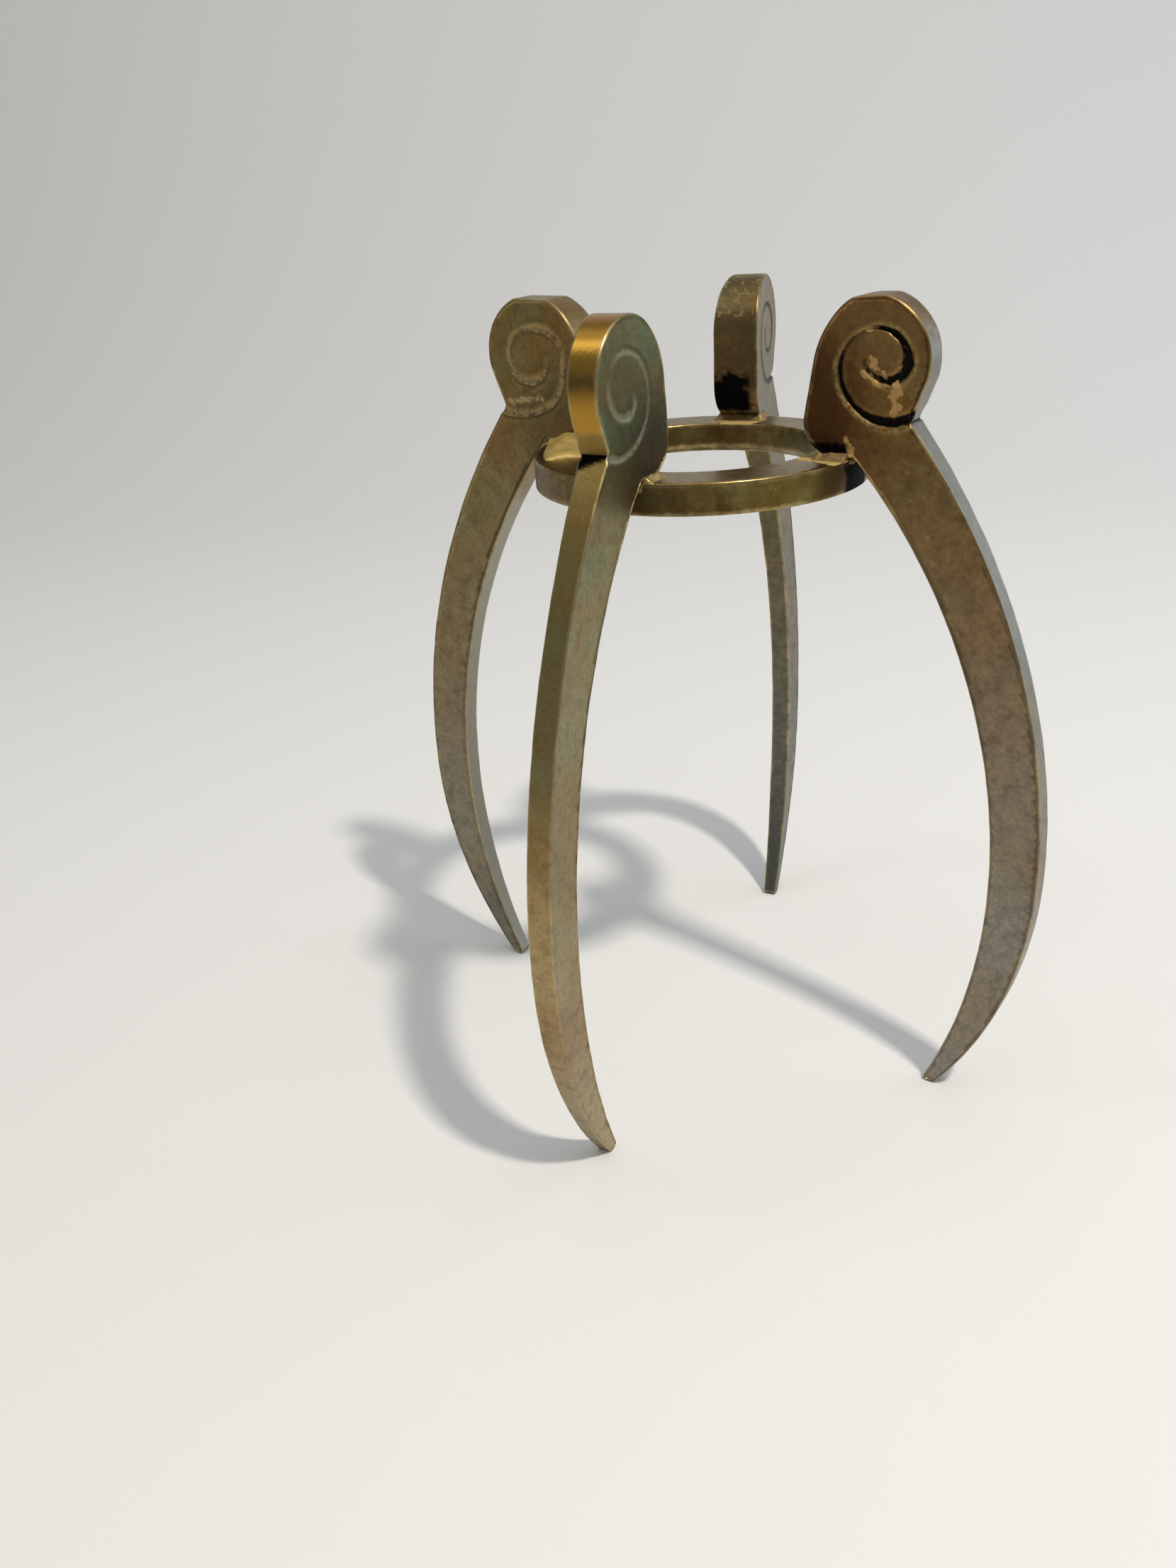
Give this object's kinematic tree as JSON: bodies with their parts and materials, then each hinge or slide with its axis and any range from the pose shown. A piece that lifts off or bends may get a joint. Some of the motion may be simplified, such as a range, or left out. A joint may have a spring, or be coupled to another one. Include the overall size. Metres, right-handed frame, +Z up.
{
  "type": "burner stand",
  "caption": "Aged brass stand with bowed flat legs, engraved scroll heads and a flat ring that holds a vessel over a small burner or spirit lamp.",
  "frame": {"origin": "on the floor under the middle of the ring", "axes": "+Z up along the ring's axis, +X towards the front leg, +Y towards the right leg"},
  "size_m": [0.134, 0.1341, 0.1477],
  "materials": {
    "ring_brass": "aged, dark in the bore, worn bright along the top edge",
    "leg_brass": "aged brown-olive patina with worn golden edges",
    "solder": "dull crinkled soft solder"
  },
  "bodies": {
    "root": {"ring": "ring_brass", "leg_front": "leg_brass", "leg_right": "leg_brass", "leg_back": "leg_brass", "leg_left": "leg_brass", "solder_front": "solder", "solder_right": "solder", "solder_back": "solder", "solder_left": "solder"}
  },
  "joints": []
}
